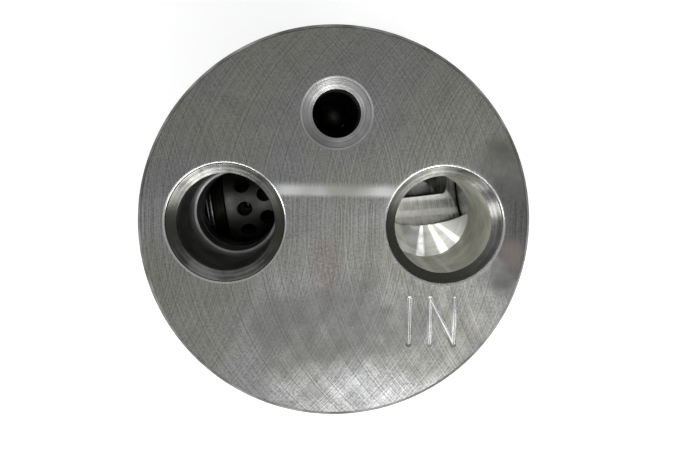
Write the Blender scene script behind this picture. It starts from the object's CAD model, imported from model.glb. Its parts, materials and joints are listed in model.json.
import json
import math

import bmesh
import bpy
from mathutils import Matrix, Vector


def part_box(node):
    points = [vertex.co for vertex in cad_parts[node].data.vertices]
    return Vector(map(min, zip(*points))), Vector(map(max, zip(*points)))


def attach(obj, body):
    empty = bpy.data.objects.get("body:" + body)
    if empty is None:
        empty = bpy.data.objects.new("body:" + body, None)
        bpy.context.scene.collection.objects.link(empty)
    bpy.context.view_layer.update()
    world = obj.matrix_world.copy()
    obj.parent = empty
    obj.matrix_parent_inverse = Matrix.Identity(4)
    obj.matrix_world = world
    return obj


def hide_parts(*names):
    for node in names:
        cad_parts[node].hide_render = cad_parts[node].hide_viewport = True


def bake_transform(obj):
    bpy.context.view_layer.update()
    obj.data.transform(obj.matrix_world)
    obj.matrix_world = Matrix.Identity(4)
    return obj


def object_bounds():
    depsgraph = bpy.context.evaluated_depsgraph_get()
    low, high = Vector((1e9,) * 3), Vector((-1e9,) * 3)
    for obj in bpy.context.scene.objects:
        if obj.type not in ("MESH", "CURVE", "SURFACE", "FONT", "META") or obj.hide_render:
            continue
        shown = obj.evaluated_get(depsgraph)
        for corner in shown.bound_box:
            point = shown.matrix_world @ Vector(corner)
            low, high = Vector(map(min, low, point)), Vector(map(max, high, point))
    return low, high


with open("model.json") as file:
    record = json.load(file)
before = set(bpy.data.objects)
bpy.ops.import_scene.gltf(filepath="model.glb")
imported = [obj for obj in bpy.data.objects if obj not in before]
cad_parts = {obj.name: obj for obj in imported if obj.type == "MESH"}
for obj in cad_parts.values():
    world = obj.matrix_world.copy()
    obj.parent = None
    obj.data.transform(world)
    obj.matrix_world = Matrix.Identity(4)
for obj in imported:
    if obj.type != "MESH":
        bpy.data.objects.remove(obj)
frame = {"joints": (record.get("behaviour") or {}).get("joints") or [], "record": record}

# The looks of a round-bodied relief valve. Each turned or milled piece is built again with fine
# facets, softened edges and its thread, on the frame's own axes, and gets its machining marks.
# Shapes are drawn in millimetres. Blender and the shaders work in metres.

cad_low, cad_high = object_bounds()

# ---------------------------------------------- places, from the frame

MM = 0.001
UP = Vector((0, 0, 1))
joints = {joint["name"]: joint for joint in frame["joints"]}
openings = {box["name"]: box["box_m"] for box in frame["record"]["physics"]["openings"]}
body_low, body_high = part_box("valve_body")
RADIUS = (body_high.x - body_low.x) / 2 / MM
HEIGHT = body_high.z / MM


def opening_axis(name):
    """The x and y, in millimetres, of the upright port that an opening names."""
    low, high = openings[name]
    return (low[0] + high[0]) / 2 / MM, (low[1] + high[1]) / 2 / MM


INLET = opening_axis("inlet_port")
OUTLET = opening_axis("outlet_port")
GAUGE = opening_axis("gauge_port")

# The foot is the point of the cartridge's axis that is nearest to the body's own axis.
CARTRIDGE_AXIS = Vector(joints["adjuster_advance"]["axis"]).normalized()
on_axis = Vector(joints["adjuster_turn"]["pos_m"])
level = Vector((on_axis.x, on_axis.y, 0))
FOOT = (on_axis - CARTRIDGE_AXIS * level.dot(CARTRIDGE_AXIS)) / MM


def lying(origin, axis):
    """Places a piece drawn in millimetres about its own +Z along a level axis, its +X upwards."""
    turn = Matrix((UP, axis.cross(UP), axis)).transposed().to_4x4()
    return Matrix.Translation(Vector(origin) * MM) @ turn @ Matrix.Scale(MM, 4)


def standing(x, y, z=0.0):
    """Places a piece drawn in millimetres upright at a point."""
    return Matrix.Translation(Vector((x, y, z)) * MM) @ Matrix.Scale(MM, 4)


def level_axis(degrees):
    """A level direction, in degrees from +X towards +Y."""
    return Vector((math.cos(math.radians(degrees)), math.sin(math.radians(degrees)), 0))


# The side drillings: the inlet gallery and the gauge port's passage, below the port face.
GALLERY_TURN, GALLERY_BESIDE, GALLERY_DEPTH = 5, 5.6, 29.4
PASSAGE_TURN, PASSAGE_DEPTH = 135, 18
GALLERY_AXIS = level_axis(GALLERY_TURN)
GALLERY_FOOT = Vector((INLET[0], GALLERY_BESIDE, HEIGHT - GALLERY_DEPTH))
PASSAGE_AXIS = level_axis(PASSAGE_TURN)
PASSAGE_FOOT = Vector((*GAUGE, HEIGHT - PASSAGE_DEPTH))

in_body = lying(FOOT, CARTRIDGE_AXIS)
in_gallery = lying(GALLERY_FOOT, GALLERY_AXIS)
in_passage = lying(PASSAGE_FOOT, PASSAGE_AXIS)

# ---------------------------------------------- meshes

DRILL_TIP = 0.6  # depth of a 118 degree drill point for each millimetre of radius
BODY_SIDES, FINE, MEDIUM, SMALL, COARSE = 288, 192, 96, 64, 32  # facets round a turned piece
TINY = 1e-6


def mesh_object(name, points, faces):
    mesh = bpy.data.meshes.new(name)
    mesh.from_pydata(points, [], faces)
    made = bmesh.new()
    made.from_mesh(mesh)
    bmesh.ops.recalc_face_normals(made, faces=made.faces)
    made.to_mesh(mesh)
    made.free()
    piece = bpy.data.objects.new(name, mesh)
    bpy.context.scene.collection.objects.link(piece)
    return piece


def softened(profile, size, closed):
    """The profile with each corner rounded off by a short arc."""
    least_turn, most_of_a_side = math.radians(12), 0.4
    count = len(profile)
    rounded = []
    for i, corner in enumerate(profile):
        here = Vector(corner)
        arriving = here - Vector(profile[i - 1])
        leaving = Vector(profile[(i + 1) % count]) - here
        shorter = min(arriving.length, leaving.length)
        ends = not closed and i in (0, count - 1)
        if ends or shorter < TINY or arriving.angle(leaving) < least_turn:
            rounded.append(corner)
            continue
        reach = min(size, shorter * most_of_a_side)
        start = here - arriving.normalized() * reach
        end = here + leaving.normalized() * reach
        for share in (0, 0.33, 0.67, 1):
            first = start.lerp(here, share)
            rounded.append(tuple(first.lerp(here.lerp(end, share), share)))
    return rounded


def tube_faces(pairs):
    """Quads between the two rings of points of each pair, or triangles where one is a point."""
    faces = []
    for low, high in pairs:
        sides = max(len(low), len(high))
        for i in range(sides):
            j = (i + 1) % sides
            if len(low) == 1 and len(high) > 1:
                faces.append((low[0], high[j], high[i]))
            elif len(high) == 1 and len(low) > 1:
                faces.append((low[i], low[j], high[0]))
            elif len(low) > 1:
                faces.append((low[i], low[j], high[j], high[i]))
    return faces


def turned(name, profile, place, sides=MEDIUM, closed=False, soft=0.0):
    """A solid of revolution about place's own Z. The profile holds (radius, along) pairs in mm."""
    if soft:
        profile = softened(profile, soft, closed)
    points, rings = [], []
    for radius, along in profile:
        count = 1 if radius < TINY else sides
        rings.append([len(points) + i for i in range(count)])
        for i in range(count):
            angle = 2 * math.pi * i / sides
            points.append(place @ Vector((radius * math.cos(angle), radius * math.sin(angle), along)))
    pairs = list(zip(rings, rings[1:]))
    if closed:
        pairs.append((rings[-1], rings[0]))
    return mesh_object(name, points, tube_faces(pairs))


def rod(radius, start, end, place, sides=SMALL):
    return turned("cutter", [(0, start), (radius, start), (radius, end), (0, end)], place, sides)


def prism(flats, start, end, place):
    """A hexagonal bar, one corner towards place's own +X."""
    return rod(flats / math.sqrt(3), start, end, place, 6)


def thread_ring(root, height, along, half_width, half_crest=0.06):
    """One ring of a thread, as part of a profile: it stands out from its root by its height."""
    crest = root + height
    return [
        (root, along - half_width), (crest, along - half_crest), (crest, along + half_crest),
        (root, along + half_width),
    ]


def square_ring(inner, outer, start, end):
    return [(inner, start), (outer, start), (outer, end), (inner, end)]


def combine(piece, others, operation="DIFFERENCE"):
    """Cuts the others from the piece, joins them or keeps what they share, and removes them."""
    for other in others:
        change = piece.modifiers.new("change", "BOOLEAN")
        change.operation = operation
        change.solver = "MANIFOLD"
        change.object = other
    ready = piece.evaluated_get(bpy.context.evaluated_depsgraph_get())
    mesh = bpy.data.meshes.new_from_object(ready)
    piece.modifiers.clear()
    piece.data = mesh
    for other in others:
        bpy.data.objects.remove(other)
    return piece


def shade(piece):
    """Smooth shading that keeps edges sharper than an angle, and flat faces flat."""
    mesh, sharp = piece.data, math.radians(35)
    mesh.polygons.foreach_set("use_smooth", [True] * len(mesh.polygons))
    mesh.set_sharp_from_angle(angle=sharp)
    weights = piece.modifiers.new("weights", "WEIGHTED_NORMAL")
    weights.keep_sharp = True
    weights.weight = 80


def dress(piece, node, slot, materials):
    """Makes a fine piece the look of its CAD node."""
    piece.data.materials.clear()
    for material in materials:
        piece.data.materials.append(material)
    shade(piece)
    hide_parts(node)


def place_piece(piece, node, body, slot, materials):
    """Puts a fine piece in the place of its CAD node, on that node's body."""
    piece.name = node + "_fine"
    dress(piece, node, slot, materials)
    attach(piece, body)


# ---------------------------------------------- colours

GLINT = (0.98, 0.98, 0.97)
SHINE = (0.9, 0.9, 0.89)
BRIGHT = (0.74, 0.74, 0.73)
BRIGHT_SHADE = (0.5, 0.5, 0.49)
STEEL = (0.52, 0.52, 0.515)
STEEL_SHADE = (0.33, 0.33, 0.32)
FRESH = (0.84, 0.84, 0.76)
FRESH_SHADE = (0.52, 0.52, 0.44)
SOOT = (0.1, 0.1, 0.085)
SOOT_SHADE = (0.04, 0.04, 0.035)
INLET_WALL = (0.88, 0.88, 0.79)
INLET_CONE = (0.4, 0.4, 0.35)
OUTLET_SHADE = (0.2, 0.2, 0.19)

FACE_UPPER = (0.42, 0.42, 0.415)
FACE_LOWER = (0.50, 0.50, 0.495)
FACE_BAND = (0.98, 0.98, 0.98)
FACE_BRIGHT = (0.93, 0.93, 0.93)
FACE_DULL = (0.24, 0.24, 0.22)
FACE_HANDLED = (0.1, 0.1, 0.095)
FACE_BROWN = (0.36, 0.26, 0.21)
FACE_MARKS = (0.2, 0.2, 0.195)
OIL_FILM = (0.44, 0.44, 0.375)

CAGE_TINT = (0.42, 0.42, 0.4)
CAGE_SHADE = (0.26, 0.26, 0.24)
ZINC = (0.68, 0.69, 0.71)
ZINC_SHADE = (0.5, 0.51, 0.53)
WIRE = (0.44, 0.44, 0.46)
WIRE_SHADE = (0.24, 0.24, 0.25)
BRONZE = (0.56, 0.36, 0.18)
BRONZE_SHADE = (0.33, 0.2, 0.1)
RUBBER = (0.018, 0.018, 0.018)
RUBBER_WORN = (0.05, 0.05, 0.048)
PTFE = (0.82, 0.8, 0.74)
PTFE_WORN = (0.7, 0.67, 0.58)
FLOOR = (0.94, 0.94, 0.94)
FLOOR_CLOUD = (0.97, 0.97, 0.97)

# ---------------------------------------------- shader building


class Nodes:
    """A small builder for one material's node tree. Lengths in a tree are in metres."""

    def __init__(self, name):
        self.material = bpy.data.materials.new(name)
        self.material.use_nodes = True
        self.tree = self.material.node_tree
        self.shader = self.tree.nodes["Principled BSDF"]
        self.place = self.add("ShaderNodeTexCoord").outputs["Object"]

    def add(self, kind, **settings):
        node = self.tree.nodes.new(kind)
        for key, value in settings.items():
            setattr(node, key, value)
        return node

    def feed(self, socket, value):
        if isinstance(value, bpy.types.NodeSocket):
            self.tree.links.new(value, socket)
        else:
            socket.default_value = value

    def math(self, operation, *values):
        node = self.add("ShaderNodeMath", operation=operation)
        for socket, value in zip(node.inputs, values):
            self.feed(socket, value)
        return node.outputs[0]

    def vector(self, operation, *values):
        node = self.add("ShaderNodeVectorMath", operation=operation)
        for socket, value in zip(node.inputs, values):
            self.feed(socket, value)
        return node.outputs["Value"] if operation in ("DOT_PRODUCT", "LENGTH") else node.outputs[0]

    def layers(self, *layers):
        """The sum of several values, each times its own share."""
        total = None
        for value, share in layers:
            part = value if share == 1 else self.math("MULTIPLY", value, share)
            total = part if total is None else self.math("ADD", total, part)
        return total

    def noise(self, scale, detail):
        node = self.add("ShaderNodeTexNoise")
        self.feed(node.inputs["Vector"], self.place)
        node.inputs["Scale"].default_value = scale
        node.inputs["Detail"].default_value = detail
        node.inputs["Roughness"].default_value = 0.55
        return node.outputs["Fac"]

    def lines(self, coordinate, spacing, detail=2.0):
        """Irregular parallel lines across a coordinate, about spacing metres apart."""
        node = self.add("ShaderNodeTexNoise", noise_dimensions="1D")
        self.feed(node.inputs["W"], coordinate)
        node.inputs["Scale"].default_value = 1 / spacing
        node.inputs["Detail"].default_value = detail
        return node.outputs["Fac"]

    def spread(self, value, low, high, start=0.0, end=1.0, smooth=False):
        """The value moved from the range start to end into low to high, and held at its ends."""
        node = self.add("ShaderNodeMapRange", interpolation_type="SMOOTHSTEP" if smooth else "LINEAR")
        for socket, number in zip(node.inputs, (value, start, end, low, high)):
            self.feed(socket, number)
        return node.outputs[0]

    def colour_mix(self, factor, first, second):
        """Mixes colours on the colour sockets of a Mix node."""
        node = self.add("ShaderNodeMix", data_type="RGBA")
        sockets = [s for s in node.inputs if s.enabled]
        self.feed(sockets[0], factor)
        for socket, value in zip(sockets[1:], (first, second)):
            self.feed(socket, value if isinstance(value, bpy.types.NodeSocket) else (*value, 1))
        return next(s for s in node.outputs if s.enabled)

    def polar(self, origin, axis):
        """The distance along an axis, the distance from it, and the direction round it."""
        start = tuple(x * MM for x in origin)
        relative = self.vector("SUBTRACT", self.place, start)
        along = self.vector("DOT_PRODUCT", relative, tuple(axis))
        across = self.vector("CROSS_PRODUCT", tuple(axis), relative)
        return along, self.vector("LENGTH", across), self.vector("NORMALIZE", across)

    def bump(self, height, distance):
        node = self.add("ShaderNodeBump")
        node.inputs["Strength"].default_value = 1.0
        node.inputs["Distance"].default_value = distance
        self.feed(node.inputs["Height"], height)
        self.feed(self.shader.inputs["Normal"], node.outputs[0])

    def set(self, **values):
        for name, value in values.items():
            self.feed(self.shader.inputs[name.replace("_", " ")], value)


# ---------------------------------------------- turned metal


def streaked(made, colour, axis, around, streaks):
    """The colour with bright chatter marks that run along the surface, broken up by noise."""
    core_share = 0.3
    for outward, half_width, strength in streaks:
        beside = Vector(axis).cross(Vector(outward)).normalized()
        agree = made.vector("DOT_PRODUCT", around, tuple(beside))
        edge, core = (math.cos(math.radians(half_width * share)) for share in (1, core_share))
        ragged = made.spread(made.noise(900, 2), 0.6, 1.0, 0.35, 0.6)
        mask = made.math("MULTIPLY", made.spread(agree, 0, strength, edge, core, True), ragged)
        colour = made.colour_mix(mask, colour, GLINT)
    return colour


def turned_metal(
        name, origin, axis, tint, dirt, rough, groove, depth, turn=0.0, clean=None, metal=1.0, streaks=(),
        cloud=1.0):
    """Turned metal: irregular rings about an axis, with stains and uneven gloss.

    groove is the rings' spacing and depth their height, both in mm. turn is the anisotropy.
    clean is (direction, low, high, both): the stains cover the side where the direction round
    the axis agrees less with the given one, or with its opposite where both is set.
    streaks holds (direction from the axis, half width in degrees, strength) for each mark.
    cloud is how much of the staining lies in patches.
    """
    stain_scale, gloss_scale, grain_scale = 160, 420, 9000
    stain_middle = 0.52
    made = Nodes(name)
    along, radius, around = made.polar(origin, axis)
    rings, wide = (
        made.math("ADD", made.lines(along, spacing * MM), made.lines(radius, spacing * MM))
        for spacing in (groove, 4 * groove)
    )
    stain_low, stain_high = stain_middle - stain_middle * cloud, stain_middle + (1 - stain_middle) * cloud
    stain = made.spread(made.noise(stain_scale, 4), stain_low, stain_high)
    worn = made.spread(made.layers((stain, 1), (made.math("SUBTRACT", rings, 1), 0.35)), 0, 1, 0.36, 0.68)
    if clean:
        direction, low, high, both = clean
        agree = made.vector("DOT_PRODUCT", around, tuple(direction))
        agree = made.math("ABSOLUTE", agree) if both else agree
        worn = made.math("MULTIPLY", worn, made.spread(agree, 0, 1, low, high, True))
    colour = streaked(made, made.colour_mix(worn, dirt, tint), axis, around, streaks)
    made.set(Base_Color=colour, Metallic=metal)
    uneven = made.layers((made.noise(gloss_scale, 4), 1), (wide, 0.35))
    made.set(Roughness=made.spread(uneven, rough * 0.75, rough * 1.3, 0.5, 1.1))
    made.bump(made.layers((rings, 1), (made.noise(grain_scale, 2), 0.25), (wide, 0.8)), depth * MM)
    if turn:
        made.set(Anisotropic=turn, Anisotropic_Rotation=0.25, Tangent=around)
    return made.material


# ---------------------------------------------- the port face

# Ovals on the port face, in mm: the middle's x and y, half the width and half the height.
HANDLED_OVAL = (32, 1, 10, 17)
BROWN_OVAL = (-1.6, -8, 3.6, 6.5)
BROWN_EDGE_OVAL = (32, -4.5, 3, 4)
DULL_OVAL = (-1, -18, 24, 12)
BRIGHT_OVAL = (11, -32, 26, 9)


def patch(made, oval):
    """1 in the middle of an oval on the port face, fading to 0 at its ragged edge."""
    x, y, wide, tall = oval
    relative = made.vector("SUBTRACT", made.place, (x * MM, y * MM, HEIGHT * MM))
    shape = made.vector("MULTIPLY", relative, (1 / (wide * MM), 1 / (tall * MM), 0))
    ragged = made.spread(made.noise(120, 3), -0.25, 0.25, 0.3, 0.7)
    reach = made.math("ADD", made.vector("LENGTH", shape), ragged)
    return made.spread(reach, 1, 0, 0.35, 1.0, True)


def mill_arcs(made, x, y):
    """The face mill's arcs, fine and broad. Its leading and trailing edges' arcs cross."""
    mill = 46 * MM
    lean = made.math("SQRT", made.math("SUBTRACT", mill * mill, made.math("MULTIPLY", y, y)))
    leading, trailing = made.math("SUBTRACT", x, lean), made.math("ADD", x, lean)
    fine = made.math("ADD", made.lines(leading, 0.3 * MM), made.lines(trailing, 0.36 * MM))
    broad = made.math("ADD", made.lines(leading, 2.1 * MM), made.lines(trailing, 2.4 * MM))
    return fine, broad


def light_band(made, x, y):
    """1 along the light band between the two large ports, fading to 0 around it."""
    foot = made.spread(y, 0, 1, 4.5 * MM, 5.5 * MM, True)
    top = made.spread(y, 1, 0, 6.2 * MM, 7.8 * MM, True)
    ends = made.spread(made.math("ABSOLUTE", x), 1, 0, 9 * MM, 15 * MM, True)
    return made.math("MULTIPLY", made.math("MULTIPLY", foot, top), ends)


def face_colour(made, y, band, speckle):
    """The face's tints: lighter below the band, oiled in patches, brown in spots."""
    lower = made.spread(y, 1.0, 0.0, 3.5 * MM, 6.2 * MM, True)
    colour = made.colour_mix(lower, FACE_UPPER, FACE_LOWER)
    colour = made.colour_mix(band, colour, FACE_BAND)
    film = made.spread(made.noise(38, 3), 0, 1, 0.42, 0.6, True)
    colour = made.colour_mix(film, colour, OIL_FILM)
    colour = made.colour_mix(patch(made, HANDLED_OVAL), colour, FACE_HANDLED)
    spots = made.math("MULTIPLY", patch(made, BROWN_OVAL), made.spread(speckle, 0.3, 1, 0.35, 0.6))
    brown = made.layers((spots, 1), (patch(made, BROWN_EDGE_OVAL), 0.6))
    colour = made.colour_mix(made.math("MULTIPLY", brown, 0.7), colour, FACE_BROWN)
    dull = made.math("MULTIPLY", patch(made, DULL_OVAL), 0.7)
    colour = made.colour_mix(dull, colour, FACE_DULL)
    return made.colour_mix(patch(made, BRIGHT_OVAL), colour, FACE_BRIGHT)


def milled_metal(name):
    """The port face: crossing arcs of a face mill, in passes, with a thin film of old oil."""
    made = Nodes(name)
    split = made.add("ShaderNodeSeparateXYZ")
    made.feed(split.inputs[0], made.place)
    x, y = split.outputs[0], split.outputs[1]
    fine, broad = mill_arcs(made, x, y)
    straight = made.lines(y, 0.32 * MM, 1.0)
    speckle = made.noise(2600, 3)
    cut = made.math("MULTIPLY", fine, made.spread(made.noise(95, 3), 0.25, 1.0, 0.35, 0.65))
    made.bump(made.layers((cut, 1), (broad, 0.3), (straight, 0.35), (speckle, 0.4)), 0.008 * MM)
    band = light_band(made, x, y)
    marks = made.spread(made.layers((fine, 0.5), (speckle, 0.6), (broad, 0.1)), 0.0, 0.85, 0.72, 1.08)
    marks = made.math("MULTIPLY", marks, made.math("SUBTRACT", 1, made.math("MULTIPLY", band, 0.95)))
    colour = made.colour_mix(marks, face_colour(made, y, band, speckle), FACE_MARKS)
    gloss = made.layers((made.noise(300, 4), 1), (broad, 0.3))
    made.set(Base_Color=colour, Metallic=1.0, Roughness=made.spread(gloss, 0.27, 0.42, 0.55, 1.0))
    return made.material


# ---------------------------------------------- other materials


def plated_metal(name, tint, shadow, rough):
    """Zinc plate on a machined blank: faint spangle and uneven gloss."""
    made = Nodes(name)
    spangle = made.add("ShaderNodeTexVoronoi", feature="F1")
    made.feed(spangle.inputs["Vector"], made.place)
    spangle.inputs["Scale"].default_value = 1500
    cloud = made.noise(260, 4)
    grain = made.noise(5200, 3)
    mottle = made.layers((spangle.outputs["Distance"], 0.35), (cloud, 1))
    made.set(Base_Color=made.colour_mix(made.spread(mottle, 0, 1, 0.4, 0.95), tint, shadow), Metallic=1.0)
    made.set(Roughness=made.spread(grain, rough * 0.7, rough * 1.35, 0.35, 0.65))
    made.bump(made.layers((grain, 1), (cloud, 2)), 0.004 * MM)
    return made.material


def moulded(name, tint, worn, rough, gloss, grain_scale):
    """Rubber or PTFE: matt, finely grained, with faint handling marks."""
    made = Nodes(name)
    grain = made.noise(grain_scale, 4)
    made.set(Base_Color=made.colour_mix(made.spread(made.noise(220, 4), 0, 1, 0.4, 0.7), tint, worn))
    made.set(Roughness=made.spread(grain, rough * 0.8, min(1.0, rough * 1.2), 0.35, 0.65))
    made.set(Specular_IOR_Level=gloss)
    made.bump(grain, 0.01 * MM)
    return made.material


EAST, NORTH_EAST, NORTH_WEST = level_axis(0), level_axis(45), level_axis(135)
MIDDLE = (0, 0, 0)
AT_INLET, AT_OUTLET, AT_GAUGE = (*INLET, 0), (*OUTLET, 0), (*GAUGE, 0)
CONE_STREAKS = [(level_axis(azimuth), width, 1.0) for azimuth, width in ((264, 8), (298, 8), (322, 6))]
WALL_STREAKS = [(level_axis(azimuth), width, 0.9) for azimuth, width in ((257, 8), (281, 4))]
GALLERY_STREAKS = [((0.06, -0.74, -0.67), 9, 0.9), ((0.03, -0.34, -0.94), 8, 0.7)]
CHAMBER_STREAKS = [((0.01, -0.3, -0.95), 7, 0.9), ((0, -0.72, -0.7), 8, 0.8)]
body_looks = {
    "face": milled_metal("port_face"),
    "side": turned_metal("turned_side", MIDDLE, UP, STEEL, STEEL_SHADE, 0.33, 1.1, 0.03, 0.5, cloud=0.25),
    "edge": turned_metal("turned_edge", MIDDLE, UP, STEEL_SHADE, SOOT, 0.3, 0.3, 0.003),
    "letter": turned_metal("letter_grooves", MIDDLE, UP, SHINE, BRIGHT_SHADE, 0.26, 0.2, 0.003),
    "inlet": turned_metal(
        "inlet_bore", AT_INLET, UP, INLET_WALL, FRESH_SHADE, 0.42, 0.3, 0.006, 0.6, metal=0.5,
        streaks=WALL_STREAKS),
    "outlet": turned_metal("outlet_bore", AT_OUTLET, UP, STEEL, OUTLET_SHADE, 0.34, 0.3, 0.004),
    "ledge": turned_metal("outlet_ledge", AT_OUTLET, UP, STEEL, STEEL_SHADE, 0.3, 0.2, 0.002),
    "ledge_edge": turned_metal("ledge_edges", AT_OUTLET, UP, GLINT, BRIGHT, 0.4, 0.2, 0.002, metal=0.8),
    "gauge_mouth": turned_metal(
        "gauge_mouth", AT_GAUGE, UP, GLINT, STEEL, 0.36, 0.45, 0.06, metal=0.5,
        clean=(NORTH_EAST, 0.35, 1.0, True)),
    "gauge": turned_metal("gauge_bore", AT_GAUGE, UP, SOOT, SOOT_SHADE, 0.3, 0.3, 0.01),
    "inlet_mouth": turned_metal(
        "inlet_mouth", AT_INLET, UP, STEEL_SHADE, SOOT, 0.24, 0.35, 0.006,
        clean=(NORTH_WEST, -0.9, 0.6, False)),
    "outlet_mouth": turned_metal(
        "outlet_mouth", AT_OUTLET, UP, BRIGHT_SHADE, SOOT, 0.26, 0.35, 0.008, clean=(EAST, 0.2, 1.0, True)),
    "rim": turned_metal("port_rims", MIDDLE, UP, GLINT, SHINE, 0.24, 0.3, 0.002),
    "cone": turned_metal(
        "inlet_floor", AT_INLET, UP, INLET_CONE, STEEL_SHADE, 0.36, 0.5, 0.003, 0.9, streaks=CONE_STREAKS),
    "gallery": turned_metal(
        "gallery_bore", GALLERY_FOOT, GALLERY_AXIS, FRESH, STEEL_SHADE, 0.42, 0.5, 0.01, metal=0.5,
        streaks=GALLERY_STREAKS),
    "chamber": turned_metal(
        "nose_chamber", FOOT, CARTRIDGE_AXIS, FRESH, STEEL_SHADE, 0.42, 0.5, 0.01, metal=0.5,
        streaks=CHAMBER_STREAKS),
    "cross": turned_metal("cross_bore", FOOT, CARTRIDGE_AXIS, STEEL, STEEL_SHADE, 0.3, 0.4, 0.006),
    "passage": turned_metal("passage_bore", PASSAGE_FOOT, PASSAGE_AXIS, STEEL, STEEL_SHADE, 0.3, 0.3, 0.006),
}
cage_steel = turned_metal("cage_steel", FOOT, CARTRIDGE_AXIS, CAGE_TINT, CAGE_SHADE, 0.4, 0.35, 0.005)
oiled_steel = turned_metal("oiled_steel", FOOT, CARTRIDGE_AXIS, SOOT, SOOT_SHADE, 0.55, 0.3, 0.004)
hard_steel = turned_metal("hard_steel", FOOT, CARTRIDGE_AXIS, BRIGHT, BRIGHT_SHADE, 0.17, 0.15, 0.002)
spring_steel = turned_metal("spring_steel", FOOT, CARTRIDGE_AXIS, WIRE, WIRE_SHADE, 0.32, 0.2, 0.002)
zinc_plate = plated_metal("zinc_plate", ZINC, ZINC_SHADE, 0.27)
rubber = moulded("rubber", RUBBER, RUBBER_WORN, 0.62, 0.35, 6000)
ptfe = moulded("ptfe", PTFE, PTFE_WORN, 0.45, 0.4, 3500)
bronze = turned_metal("bronze", FOOT, CARTRIDGE_AXIS, BRONZE, BRONZE_SHADE, 0.36, 0.2, 0.003)

# ---------------------------------------------- the body

BODY_CHAMFER = 0.6
PORT_BORE, PORT_MOUTH, PORT_DEPTH = 8.8, 10.5, 23.3
THROAT, GROOVE_TOP, GROOVE_FOOT = 8.1, 29.35, 30.4  # the outlet's narrower bore and the groove in it
GAUGE_BORE, GAUGE_MOUTH, GAUGE_DEPTH, GAUGE_PASSAGE, GAUGE_PASSAGE_DEPTH = 4.35, 6.05, 14, 2.5, 20
GALLERY_BORE = 8.6
EDGE = 0.5  # radius of the rounded rim round each port
OVERSHOOT = 2  # how far a port's cutter stands above the face
PAST_SIDE = 35  # end of a side drilling's cutter, well outside the body
CROSS_DEPTH = HEIGHT - FOOT.z


def port_cutter(x, y, below, bore, mouth, depth, wall=()):
    """Hangs from the top face: what is below the bore, the bore, its mouth and a rounded rim.

    The small steps between them take off sharp corners.
    """
    top = mouth + EDGE
    arc = [(mouth + EDGE * (1 - math.cos(a)), -EDGE + EDGE * math.sin(a)) for a in (0.2, 0.6, 1.0, 1.4)]
    rim = [(mouth - 0.04, -EDGE - 0.05), *arc, (top, 0.02), (top, OVERSHOOT), (0, OVERSHOOT)]
    sink = bore - mouth
    profile = [*below, (bore, -depth + 0.16), *wall, (bore, sink - 0.1), (bore + 0.12, sink), *rim]
    return turned("cutter", profile, standing(x, y, HEIGHT), FINE)


def inlet_cutter():
    drill_point = (0, -PORT_DEPTH - DRILL_TIP * PORT_BORE)
    return port_cutter(*INLET, [drill_point], PORT_BORE, PORT_MOUTH, PORT_DEPTH)


def outlet_cutter():
    """The outlet port: its throat down to the cross bore, with a groove, and the ledge above it."""
    ledge, groove = -PORT_DEPTH, 0.25
    below = [
        (0, -CROSS_DEPTH), (THROAT, -CROSS_DEPTH), (THROAT, -GROOVE_FOOT),
        (THROAT + groove, -GROOVE_FOOT + groove), (THROAT + groove, -GROOVE_TOP - groove),
        (THROAT, -GROOVE_TOP), (THROAT, ledge - 0.22),
        (THROAT + 0.06, ledge - 0.07), (THROAT + 0.2, ledge), (PORT_BORE - 0.1, ledge),
        (PORT_BORE - 0.05, ledge + 0.05),
    ]
    return port_cutter(*OUTLET, below, PORT_BORE, PORT_MOUTH, PORT_DEPTH)


def gauge_cutter():
    """The gauge port: a drilled passage below a threaded bore."""
    pitch, tooth, first, turns = 0.907, 0.45, 1.6, 11
    below = [
        (0, -GAUGE_PASSAGE_DEPTH - DRILL_TIP * GAUGE_PASSAGE), (GAUGE_PASSAGE, -GAUGE_PASSAGE_DEPTH),
        (GAUGE_PASSAGE, -GAUGE_DEPTH - DRILL_TIP * (GAUGE_BORE - GAUGE_PASSAGE)),
    ]
    wall = []
    for i in range(turns):
        wall += thread_ring(GAUGE_BORE, tooth, -GAUGE_DEPTH + first + i * pitch, 0.3 * pitch)
    return port_cutter(*GAUGE, below, GAUGE_BORE, GAUGE_MOUTH, GAUGE_DEPTH, wall)


def cross_cutter():
    """The cartridge's cavity: a spot face, a seal's cone, the thread, the bore and its flat end."""
    outside, spot, spot_end, cone, thread, cone_end = -41, 15, -31, 12.3, 11, -29.2
    thread_end, bore, end, flat = -24, 10.4, 26, 8.9
    profile = [
        (0, outside), (spot, outside), (spot, spot_end), (cone, spot_end), (thread, cone_end),
        (thread, thread_end), (bore, thread_end), (bore, end), (flat, end + bore - flat),
        (0, end + bore - flat),
    ]
    return turned("cutter", profile, in_body, FINE)


def gallery_cutter():
    """The inlet gallery, with its drill point, and its plug's wider socket."""
    inner, seat, socket = -9.4, 8.5, 9.9
    profile = [
        (0, inner - DRILL_TIP * GALLERY_BORE), (GALLERY_BORE, inner), (GALLERY_BORE, seat), (socket, seat),
        (socket, PAST_SIDE), (0, PAST_SIDE),
    ]
    return turned("cutter", profile, in_gallery, FINE)


def passage_cutter():
    """The passage from the inlet port past the gauge port, with its plug's thread and socket."""
    inner = PORT_BORE / 2 - (Vector(GAUGE) - Vector(INLET)).length
    bore, thread, thread_from, socket, seat = 2, 3.2, 8, 4.8, 14.5
    profile = [
        (0, inner), (bore, inner), (bore, thread_from), (thread, thread_from), (thread, seat), (socket, seat),
        (socket, PAST_SIDE), (0, PAST_SIDE),
    ]
    return turned("cutter", profile, in_passage, SMALL)


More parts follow.
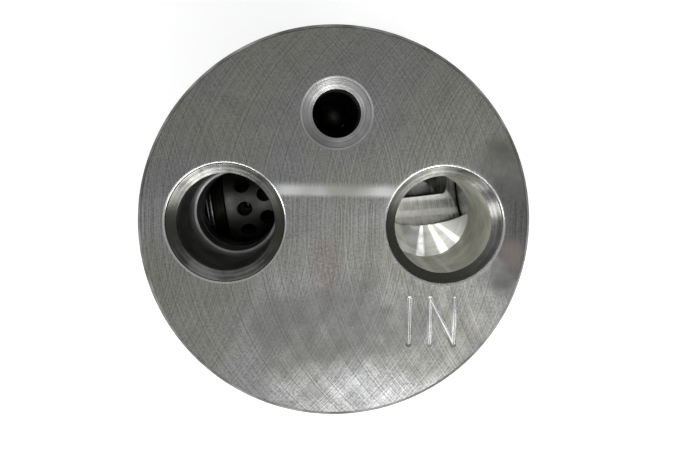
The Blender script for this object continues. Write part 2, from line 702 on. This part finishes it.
def fixing_cutters():
    """Tapped holes in the base, countersunk, each with its thread's rings."""
    count, circle, bore, tooth, depth, turns = 4, 25, 2.5, 0.45, 14, 11
    sunk, lead, first, half_width = 1.6, 0.6, 1.2, 0.35
    profile = [(0, lead - sunk), (bore + sunk, lead - sunk), (bore, lead)]
    for step in range(turns):
        profile += thread_ring(bore, tooth, first + step, half_width)
    profile += [(bore, depth), (0, depth + DRILL_TIP * bore)]
    made = []
    for i in range(count):
        middle = level_axis(360 / count * (i + 0.5)) * circle
        made.append(turned("cutter", profile, standing(middle.x, middle.y), SMALL))
    return made


def stroke_cutter(x0, y0, x1, y1):
    """A ball-nosed groove from one point to another, cut into the top face."""
    nose, lift, steps = 0.5, 0.1, 8
    run = Vector((x1 - x0, y1 - y0, 0))
    arc = [math.pi / 2 * i / steps for i in range(steps + 1)]
    start = [(nose * math.sin(a), -nose * math.cos(a)) for a in arc]
    end = [(nose * math.cos(a), run.length + nose * math.sin(a)) for a in arc]
    return turned("cutter", start + end, lying((x0, y0, HEIGHT + lift), run.normalized()), COARSE)


def letter_cutters():
    """The word IN under the inlet port."""
    low, high, stem, left, right = -21.7, -13.3, 13.65, 17.4, 21.8
    letter_i = [(stem, low, stem, high)]
    letter_n = [(left, low, left, high), (left, high, right, low), (right, low, right, high)]
    return [stroke_cutter(*ends) for ends in letter_i + letter_n]


def near(point, centre, radius):
    return math.hypot(point.x - centre[0], point.y - centre[1]) < radius


def from_line(point, origin, axis):
    """How far a point is from a level axis, and how far along it."""
    relative = point - Vector(origin)
    along = relative.dot(axis)
    return (relative - axis * along).length, along


def zone_of(point, normal):
    """Which finish a face of the body has, from where it is, in millimetres."""
    skin, corner, close, upright = 0.02, 0.75, 0.1, 0.3
    mouth_depth, gauge_mouth_depth, gauge_reach, gauge_foot, cone_foot = 2.25, 2.3, 7, 21.8, 29
    gallery_reach, gallery_end, gallery_foot, throat_foot, letters_foot = 10, -15, 39, 40, 1
    passage_reach, base_holes_top, chamber_from = 5, 20, 11.5
    below = HEIGHT - point.z
    if below < skin and normal.z > 0.9:
        return "face"
    if math.hypot(point.x, point.y) > RADIUS - corner:
        return "edge" if below < corner else "side"
    if point.z < skin:
        return "side"
    if near(point, OUTLET, PORT_BORE + close) and abs(below - PORT_DEPTH) < 0.25:
        return "ledge" if normal.z > 0.97 else "ledge_edge"
    in_groove = GROOVE_TOP - 0.05 < below < GROOVE_FOOT + 0.05
    if near(point, OUTLET, THROAT + 0.3) and in_groove and abs(normal.z) > 0.1:
        return "ledge_edge"
    reach, along = from_line(point, GALLERY_FOOT, GALLERY_AXIS)
    for centre, name in ((INLET, "inlet"), (OUTLET, "outlet")):
        if near(point, centre, PORT_MOUTH + 1) and below < mouth_depth:
            return name + "_mouth" if near(point, centre, PORT_MOUTH) else "rim"
        if near(point, centre, PORT_BORE + close) and below < PORT_DEPTH + 6 and abs(normal.z) < upright:
            if name == "outlet" or reach > GALLERY_BORE + close:
                return name
    if near(point, GAUGE, gauge_reach) and below < gauge_mouth_depth:
        return "gauge_mouth"
    if near(point, GAUGE, gauge_reach) and below < gauge_foot:
        return "gauge"
    on_cone = normal.z > 0.75 and reach > GALLERY_BORE + 0.05
    if near(point, INLET, PORT_BORE) and below < cone_foot and on_cone:
        return "cone"
    if reach < gallery_reach and along > gallery_end and below < gallery_foot:
        return "gallery"
    if near(point, OUTLET, PORT_BORE + close) and below < throat_foot:
        return "outlet"
    if from_line(point, PASSAGE_FOOT, PASSAGE_AXIS)[0] < passage_reach:
        return "passage"
    if point.z < base_holes_top:
        return "side"
    if below < letters_foot:
        return "letter"
    return "chamber" if from_line(point, FOOT, CARTRIDGE_AXIS)[1] > chamber_from else "cross"


def build_body():
    flat, shoulder = RADIUS - BODY_CHAMFER, HEIGHT - BODY_CHAMFER
    blank = [(0, 0), (flat, 0), (RADIUS, BODY_CHAMFER), (RADIUS, shoulder), (flat, HEIGHT), (0, HEIGHT)]
    body = turned("body", blank, standing(0, 0), BODY_SIDES, soft=0.12)
    ports = [inlet_cutter(), outlet_cutter(), gauge_cutter()]
    drillings = [cross_cutter(), gallery_cutter(), passage_cutter()]
    combine(body, ports + drillings + fixing_cutters() + letter_cutters())
    names = list(body_looks)
    place_piece(body, "valve_body", "valve", "body_steel", body_looks.values())
    for face in body.data.polygons:
        face.material_index = names.index(zone_of(face.center / MM, face.normal))


build_body()

# ---------------------------------------------- the cartridge

# Along the cartridge's axis, 0 is at its foot and the adjuster's end is negative.


def pointing_out(along, angle):
    """Places a piece that points straight out from the cartridge's axis, at an angle round it."""
    aim = in_body @ Matrix.Translation((0, 0, along)) @ Matrix.Rotation(angle, 4, "Z")
    return aim @ Matrix.Rotation(math.pi / 2, 4, "Y")


def build_cage():
    """The drilled cage, with a spigot that enters the nose sleeve."""
    bore, outside, end, shoulder, spigot, spigot_end = 7.9, 10.1, -23.1, -7.3, 8.9, -5.1
    rows, per_row, first_turn, hole, inside, past = (-18.8, -14, -9.4), 12, 0.06, 1.65, 6, 12
    profile = [
        (bore, end), (outside, end), (outside, shoulder), (spigot, shoulder), (spigot, spigot_end),
        (bore, spigot_end),
    ]
    cage = turned("cage", profile, in_body, FINE, closed=True, soft=0.25)
    corner, rim, flare = outside - 0.1, outside + 0.05, hole + 0.15
    drill = [(0, inside), (hole, inside), (hole, corner), (flare, rim), (flare, past), (0, past)]
    drills = []
    for row, along in enumerate(rows):
        for i in range(per_row):
            angle = first_turn + 2 * math.pi * (i + (row % 2) / 2) / per_row
            drills.append(turned("cutter", drill, pointing_out(along, angle), COARSE))
    combine(cage, drills)
    place_piece(cage, "outlet_cage", "valve", "cage_steel", [cage_steel])


def hexagon_head(name, flats, start, end, both, place):
    """A hexagon with its corners turned off at about 30 degrees, at its start or both ends."""
    corner, flat = flats / math.sqrt(3), flats / 2
    wide, narrow = corner + 1, flat - 0.2
    drop = (corner - flat) * 0.6 + 0.6
    near_end = [(wide, end - drop), (narrow, end)] if both else [(wide, end)]
    cone = [(0, start), (narrow, start), (wide, start + drop), *near_end, (0, end)]
    envelope = turned("cutter", cone, place)
    head = prism(flats, start, end, place)
    head.name = name
    return combine(head, [envelope], "INTERSECT")


def build_adapter():
    """The hexagon plug: its head, washer face, undercut, thread, neck, shoulder and guide tube."""
    hole, washer, face, undercut, undercut_end = 4.1, 11.8, -31.3, 9.9, -29.2
    root, tooth, pitch, first_crest, turns = 10.1, 0.58, 1.5, -28.4, 2
    neck, neck_from, neck_end, spigot, spigot_end = 8.6, -25.8, -23.4, 7.6, -22.3
    tube, tube_end, bore, bore_end = 6.7, -10, 5.55, -25.7
    flats, head_start, head_end, inside_head = 24, -36.3, -31.6, -32.6
    drain, drain_along, drain_reach = 0.8, -18.3, 8
    thread = []
    for i in range(turns):
        thread += thread_ring(root, tooth, first_crest + pitch * i, 0.7, 0.1)
    profile = [
        (hole, inside_head), (washer, inside_head), (washer, face), (undercut, face),
        (undercut, undercut_end), *thread, (root, -25.9), (neck, neck_from), (neck, neck_end),
        (spigot, neck_end), (spigot, spigot_end), (tube, spigot_end), (tube, tube_end), (bore, tube_end),
        (bore, bore_end), (hole, bore_end),
    ]
    barrel = turned("adapter", profile, in_body, FINE, closed=True, soft=0.1)
    head = hexagon_head("head", flats, head_start, head_end, False, in_body)
    combine(head, [rod(hole, head_start - 1, head_end + 1, in_body, MEDIUM)])
    combine(barrel, [head], "UNION")
    aims = [pointing_out(drain_along, math.pi / 2 * i) for i in range(2)]
    combine(barrel, [rod(drain, -drain_reach, drain_reach, aim, 24) for aim in aims])
    place_piece(barrel, "adapter_plug", "valve", "zinc_plate", [zinc_plate, oiled_steel])
    for face in barrel.data.polygons:
        along = (face.center / MM - FOOT).dot(CARTRIDGE_AXIS)
        face.material_index = 1 if along > neck_from - 0.05 else 0


def threaded_rod(name, rows, crest, root, pitch, start, end, place, cap):
    """A rod with one helical thread from start to end, which runs out to its root at both ends.

    cap and rows are the plain (radius, along) steps before and after the thread.
    """
    sides, per_pitch = 64, 10
    peak, flank = 1.25, 3.2  # a tooth's uncut height and its flanks' slope, in shares
    count = int((end - start) / pitch * per_pitch)
    points, rings = [], []

    def add(radius_at, along):
        rings.append([len(points) + i for i in range(sides)])
        for i in range(sides):
            angle = 2 * math.pi * i / sides
            radius = radius_at(i / sides, along)
            points.append(place @ Vector((radius * math.cos(angle), radius * math.sin(angle), along)))

    def helix(share, along):
        phase = (along / pitch - share) % 1
        tooth = min(1.0, max(0.0, peak - flank * abs(phase - 0.5)))
        fade = min(1.0, (along - start) / pitch, (end - along) / pitch)
        return root + (crest - root) * tooth * max(0.0, fade)

    for radius, along in cap:
        add(lambda share, here, radius=radius: radius, along)
    for step in range(count + 1):
        add(helix, start + (end - start) * step / count)
    for radius, along in rows:
        add(lambda share, here, radius=radius: radius, along)
    faces = [tuple(reversed(rings[0])), tuple(rings[-1]), *tube_faces(zip(rings, rings[1:]))]
    return mesh_object(name, points, faces)


def build_screw():
    """The adjusting screw: its thread, its piston with a seal's groove, its socket and a cup."""
    neck, piston, groove, soft = 3.6, 5.35, 4.2, 0.1
    crest, root, pitch, start, end = 3.9, 3.4, 1.0, -41.8, -28
    outer_land, inner_land = (
        [(piston - soft, first), (piston, first + soft), (piston, last - soft), (piston - soft, last)]
        for first, last in ((-25.4, -24.7), (-23.5, -22.8))
    )
    cap = [(2.9, -42.3), (3.05, -42.25), (3.4, -41.9)]
    rows = [(3.5, -27), (neck, -26.8), (neck, -25.4), *outer_land]
    rows += [(groove, -24.7), (groove, -23.5), *inner_land]
    screw = threaded_rod("screw", rows, crest, root, pitch, start, end, in_body, cap)
    cup = rod(1.6, -24.2, -22, in_body)
    combine(screw, [prism(4, -43.3, -38.3, in_body), cup])
    place_piece(screw, "adjusting_screw", "adjuster", "zinc_plate", [zinc_plate])


def build_nut():
    """The lock nut, its bore countersunk at both ends."""
    flats, start, end, bore = 13, -40.3, -37.3, 4.1
    nut = hexagon_head("nut", flats, start, end, True, in_body)
    hole = [(0, -41), (4.8, -41), (bore, -39.9), (bore, -37.7), (4.6, -37.2), (4.6, -36), (0, -36)]
    combine(nut, [turned("cutter", hole, in_body)])
    place_piece(nut, "lock_nut", "nut", "zinc_plate", [zinc_plate])


def tube(node, body, slot, material, profile, place=in_body, soft=0.08, sides=MEDIUM, closed=True):
    """A turned piece that needs no more than its profile."""
    piece = turned(node, profile, place, sides, closed, soft)
    place_piece(piece, node, body, slot, [material])


def seal(node, body, radius, section, along, place=in_body):
    """An O-ring with the faint flash line of its mould at its inner and outer edges."""
    around, line = 24, 0.02
    profile = []
    for i in range(around):
        angle = 2 * math.pi * i / around
        flash = line if i % (around // 2) == 0 else 0.0
        profile.append((radius + (section + flash) * math.cos(angle), along + section * math.sin(angle)))
    tube(node, body, "rubber", rubber, profile, place, soft=0)


def spring_wire(name, first, last):
    """The wire between two shares of the spring's turns, with a closed coil at each end."""
    radius, wire, start, end, turns, around, steps = 3.1, 0.75, -20.75, -5.4, 5.6, 14, 300
    free, closed = end - start - 2 * wire, 2 * wire
    pitch = (free - 2 * closed) / (turns - 2)
    points, rings = [], []
    for step in range(round(steps * first), round(steps * last) + 1):
        turn = turns * step / steps
        opened = min(max(turn - 1, 0), turns - 2)
        along = start + wire + closed * (turn - opened) + pitch * opened
        angle = 2 * math.pi * turn
        outward = Vector((math.cos(angle), math.sin(angle), 0))
        sideways = Vector((-math.sin(angle), math.cos(angle), 0))
        centre = outward * radius + UP * along
        upward = (sideways * radius + UP * pitch / (2 * math.pi)).normalized().cross(outward)
        rings.append([len(points) + i for i in range(around)])
        for i in range(around):
            twist = 2 * math.pi * i / around
            offset = outward * math.cos(twist) + upward * math.sin(twist)
            points.append(in_body @ (centre + offset * wire))
    faces = [tuple(rings[0]), tuple(reversed(rings[-1])), *tube_faces(zip(rings, rings[1:]))]
    return mesh_object(name, points, faces)


def build_spring():
    """The main spring in two halves, so that each end follows its own neighbour."""
    middle, still = 0.54, -12.5
    ends = [(0, middle, "spring_seat_group", -20), (middle, 1, "poppet_group", -6.2)]
    for number, (first, last, body, along) in enumerate(ends):
        half = spring_wire("poppet_spring_fine_" + str(number + 1), first, last)
        dress(half, "poppet_spring", "spring_steel", [spring_steel])
        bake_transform(half)


build_cage()
build_adapter()
build_screw()
build_nut()
build_spring()

tube("nose_sleeve", "valve", "hard_steel", hard_steel, [
    (7.4, -4.9), (9.2, -4.9), (9.2, -7), (10.1, -7), (10.1, -2.9), (8.4, -2.9), (8.4, 2.9), (10.1, 2.9),
    (10.1, 10.7), (9.3, 11.5), (6.6, 11.5), (5.6, 10.5), (5.6, 7.9), (7.4, 7.9),
], sides=FINE)
tube("seat_ring", "valve", "hard_steel", hard_steel, [
    (6.6, 2.2), (7.15, 2.2), (7.15, 7.6), (4.8, 7.6), (4.8, 5), (6.6, 3.2),
])
tube("poppet", "poppet_group", "hard_steel", hard_steel, [
    (0, -4.6), (4.1, -4.6), (4.1, -15.4), (5.4, -15.4), (5.4, -12.6), (4.95, -12.6), (4.95, -10.8),
    (5.4, -10.8), (5.4, -6.2), (6.2, -6.2), (6.2, -4.6), (4.6, -4.6), (4.6, -0.1), (6.1, 1.4), (6.1, 3.4),
    (1.8, 7.7), (0, 7.7),
], closed=False)
tube("poppet_guide_ring", "poppet_group", "bronze", bronze, square_ring(5.05, 5.45, -12.5, -10.9))
tube("spring_shim", "poppet_group", "hard_steel", hard_steel, square_ring(2, 3.95, -5.2, -4.75))
tube("spring_seat", "spring_seat_group", "hard_steel", hard_steel, [
    (0, -21), (1.6, -21), (1.6, -22.4), (5.2, -22.4), (5.2, -21), (2.1, -21), (2.1, -19.3), (1.6, -18.8),
    (0, -18.8),
], closed=False)
tube("sealing_washer", "washer", "zinc_plate", zinc_plate, square_ring(4.2, 6.4, -37.1, -36.5))
tube("backup_ring_inlet", "valve", "ptfe", ptfe, square_ring(8.55, 10.25, 1.75, 2.75))
tube("backup_ring_outlet", "valve", "ptfe", ptfe, square_ring(8.55, 10.25, -2.75, -1.75))
tube("passage_plug_seal", "valve", "bronze", bronze, square_ring(3.2, 4.5, 14.6, 15.3), in_passage, soft=0.15)
seal("sleeve_o_ring", "valve", 9.4, 0.8, 0)
seal("plug_o_ring", "valve", 10.65, 0.63, -30.1)
seal("adjuster_o_ring", "adjuster", 4.85, 0.48, -24.1)
seal("gallery_plug_o_ring", "valve", 9.35, 0.43, 9.05, in_gallery)


def build_ball():
    radius, along, steps = 1.4, -22.6, 32
    arc = [math.pi * i / steps for i in range(1, steps)]
    profile = [(radius * math.sin(a), along - radius * math.cos(a)) for a in arc]
    ball = turned("ball", [(0, along - radius), *profile, (0, along + radius)], in_body, SMALL)
    place_piece(ball, "thrust_ball", "spring_seat_group", "hard_steel", [hard_steel])


def build_gallery_plug():
    """A flush plug with a hexagon socket, countersunk."""
    foot, face, radius, bevel = 8.8, 12, 9.6, 1.5
    key, key_foot, sink, sunk = 8, 9.6, 4.2, 0.5
    profile = [(0, foot), (radius - bevel, foot), (radius, foot + bevel), (radius, face), (0, face)]
    plug = turned("plug", profile, in_gallery, FINE, soft=0.35)
    mouth = [(0, face - sunk), (sink, face - sunk), (sink + 2 * sunk, face + sunk), (0, face + sunk)]
    combine(plug, [prism(key, key_foot, face + 1, in_gallery), turned("cutter", mouth, in_gallery)])
    place_piece(plug, "gallery_plug", "valve", "zinc_plate", [zinc_plate])


def build_passage_plug():
    """A small flanged plug with a hexagon socket, countersunk."""
    foot, shank, bevel, flange, flange_foot, face = 9.5, 2.9, 0.5, 4.3, 15.4, 17
    key, key_foot, sink, sunk = 3, 14.5, 1.6, 0.2
    profile = [
        (0, foot), (shank - bevel, foot), (shank, foot + bevel), (shank, flange_foot), (flange, flange_foot),
        (flange, face), (0, face),
    ]
    plug = turned("plug", profile, in_passage, soft=0.25)
    mouth = [(0, face - sunk), (sink, face - sunk), (sink + 2 * sunk, face + sunk), (0, face + sunk)]
    combine(plug, [prism(key, key_foot, face + 1, in_passage), turned("cutter", mouth, in_passage, SMALL)])
    place_piece(plug, "gauge_passage_plug", "valve", "zinc_plate", [zinc_plate])


build_ball()
build_gallery_plug()
build_passage_plug()

# ---------------------------------------------- floor, light and camera

FACE_MIDDLE = Vector((0, 0, HEIGHT)) * MM

# Each soft light: azimuth, angle from straight up, distance, width and height in m, power.
SOFT_LIGHTS = {
    "overhead": (90, 4, 0.8, 0.9, 0.9, 0.14),
    "key": (-58, 24, 0.7, 0.34, 0.34, 0.46),
    "low_key": (-50, 74, 0.9, 0.9, 0.3, 2.6),
    "letter_key": (207, 62, 0.9, 0.2, 0.3, 1.0),
    "rim_key": (-90, 68, 0.9, 1.2, 0.12, 2.2),
}
# Each narrow lamp over the inlet port: azimuth, angle from straight up, power.
PORT_LAMPS = [(80, 22, 0.9), (115, 22, 0.7), (146, 22, 0.9), (-68, 24, 6), (90, 3, 20), (20, 16, 4)]


def build_floor():
    size, glow, gap = 20, 0.6, 0.0002
    made = Nodes("floor")
    made.set(Base_Color=made.colour_mix(made.noise(3, 2), FLOOR, FLOOR_CLOUD), Roughness=0.9)
    made.set(Emission_Color=(1, 1, 1, 1), Emission_Strength=glow)
    corners = [(-size, -size, 0), (size, -size, 0), (size, size, 0), (-size, size, 0)]
    floor = mesh_object("floor", corners, [(0, 1, 2, 3)])
    floor.location.z = cad_low.z - gap
    floor.data.materials.append(made.material)


def hang(name, data, target, azimuth, polar, distance):
    """Hangs a light above a target and aims it there. polar is its angle from straight up."""
    tilt = math.radians(polar)
    aim = level_axis(azimuth) * math.sin(tilt) + UP * math.cos(tilt)
    lamp = bpy.data.objects.new(name, data)
    lamp.location = target + aim * distance
    lamp.rotation_mode = "QUATERNION"
    lamp.rotation_quaternion = aim.to_track_quat("Z", "Y")
    bpy.context.scene.collection.objects.link(lamp)


def soft_light(name, azimuth, polar, distance, width, height, power):
    """A rectangular soft light aimed at the port face."""
    data = bpy.data.lights.new(name, "AREA")
    data.shape = "RECTANGLE"
    data.size, data.size_y = width, height
    data.energy = power
    hang(name, data, FACE_MIDDLE, azimuth, polar, distance)


def port_lamp(name, azimuth, polar, power):
    """A narrow lamp that shines into the inlet port and on nothing else."""
    distance = 0.8
    data = bpy.data.lights.new(name, "SPOT")
    data.energy = power
    data.shadow_soft_size = 0.003
    data.spot_size = 2 * math.atan(PORT_BORE * MM / distance)
    data.spot_blend = 0.2
    hang(name, data, Vector((*INLET, HEIGHT)) * MM, azimuth, polar, distance)


def build_lights():
    world = bpy.data.worlds.new("studio")
    world.use_nodes = True
    back = world.node_tree.nodes["Background"]
    back.inputs["Color"].default_value = (0.97, 0.98, 1, 1)
    back.inputs["Strength"].default_value = 0.3
    bpy.context.scene.world = world
    for name, settings in SOFT_LIGHTS.items():
        soft_light(name, *settings)
    for number, settings in enumerate(PORT_LAMPS):
        port_lamp("port_lamp_" + str(number), *settings)


def build_camera():
    """The photograph's view: close above the port face, a little towards the gauge port."""
    across, up, lift = -0.14, 0.404, 4.0  # from the middle of the face, in radii of the body
    pitch, yaw, roll = math.radians(-5.78), math.radians(-2.08), math.radians(-0.75)
    image_width, focal = 673, 791.7  # in pixels
    spin = Matrix.Rotation(-roll, 3, "Z")
    aim = spin @ Matrix.Rotation(pitch, 3, "X") @ Matrix.Rotation(yaw, 3, "Y")
    data = bpy.data.cameras.new("camera")
    data.sensor_width = 36
    data.lens = focal / image_width * data.sensor_width
    data.clip_start = 0.001
    camera = bpy.data.objects.new("camera", data)
    place = FACE_MIDDLE + spin @ Vector((across, up, lift)) * RADIUS * MM
    camera.matrix_world = Matrix.Translation(place) @ aim.to_4x4()
    bpy.context.scene.collection.objects.link(camera)
    bpy.context.scene.camera = camera


build_floor()
build_lights()
build_camera()
bpy.context.scene.view_settings.view_transform = "Standard"
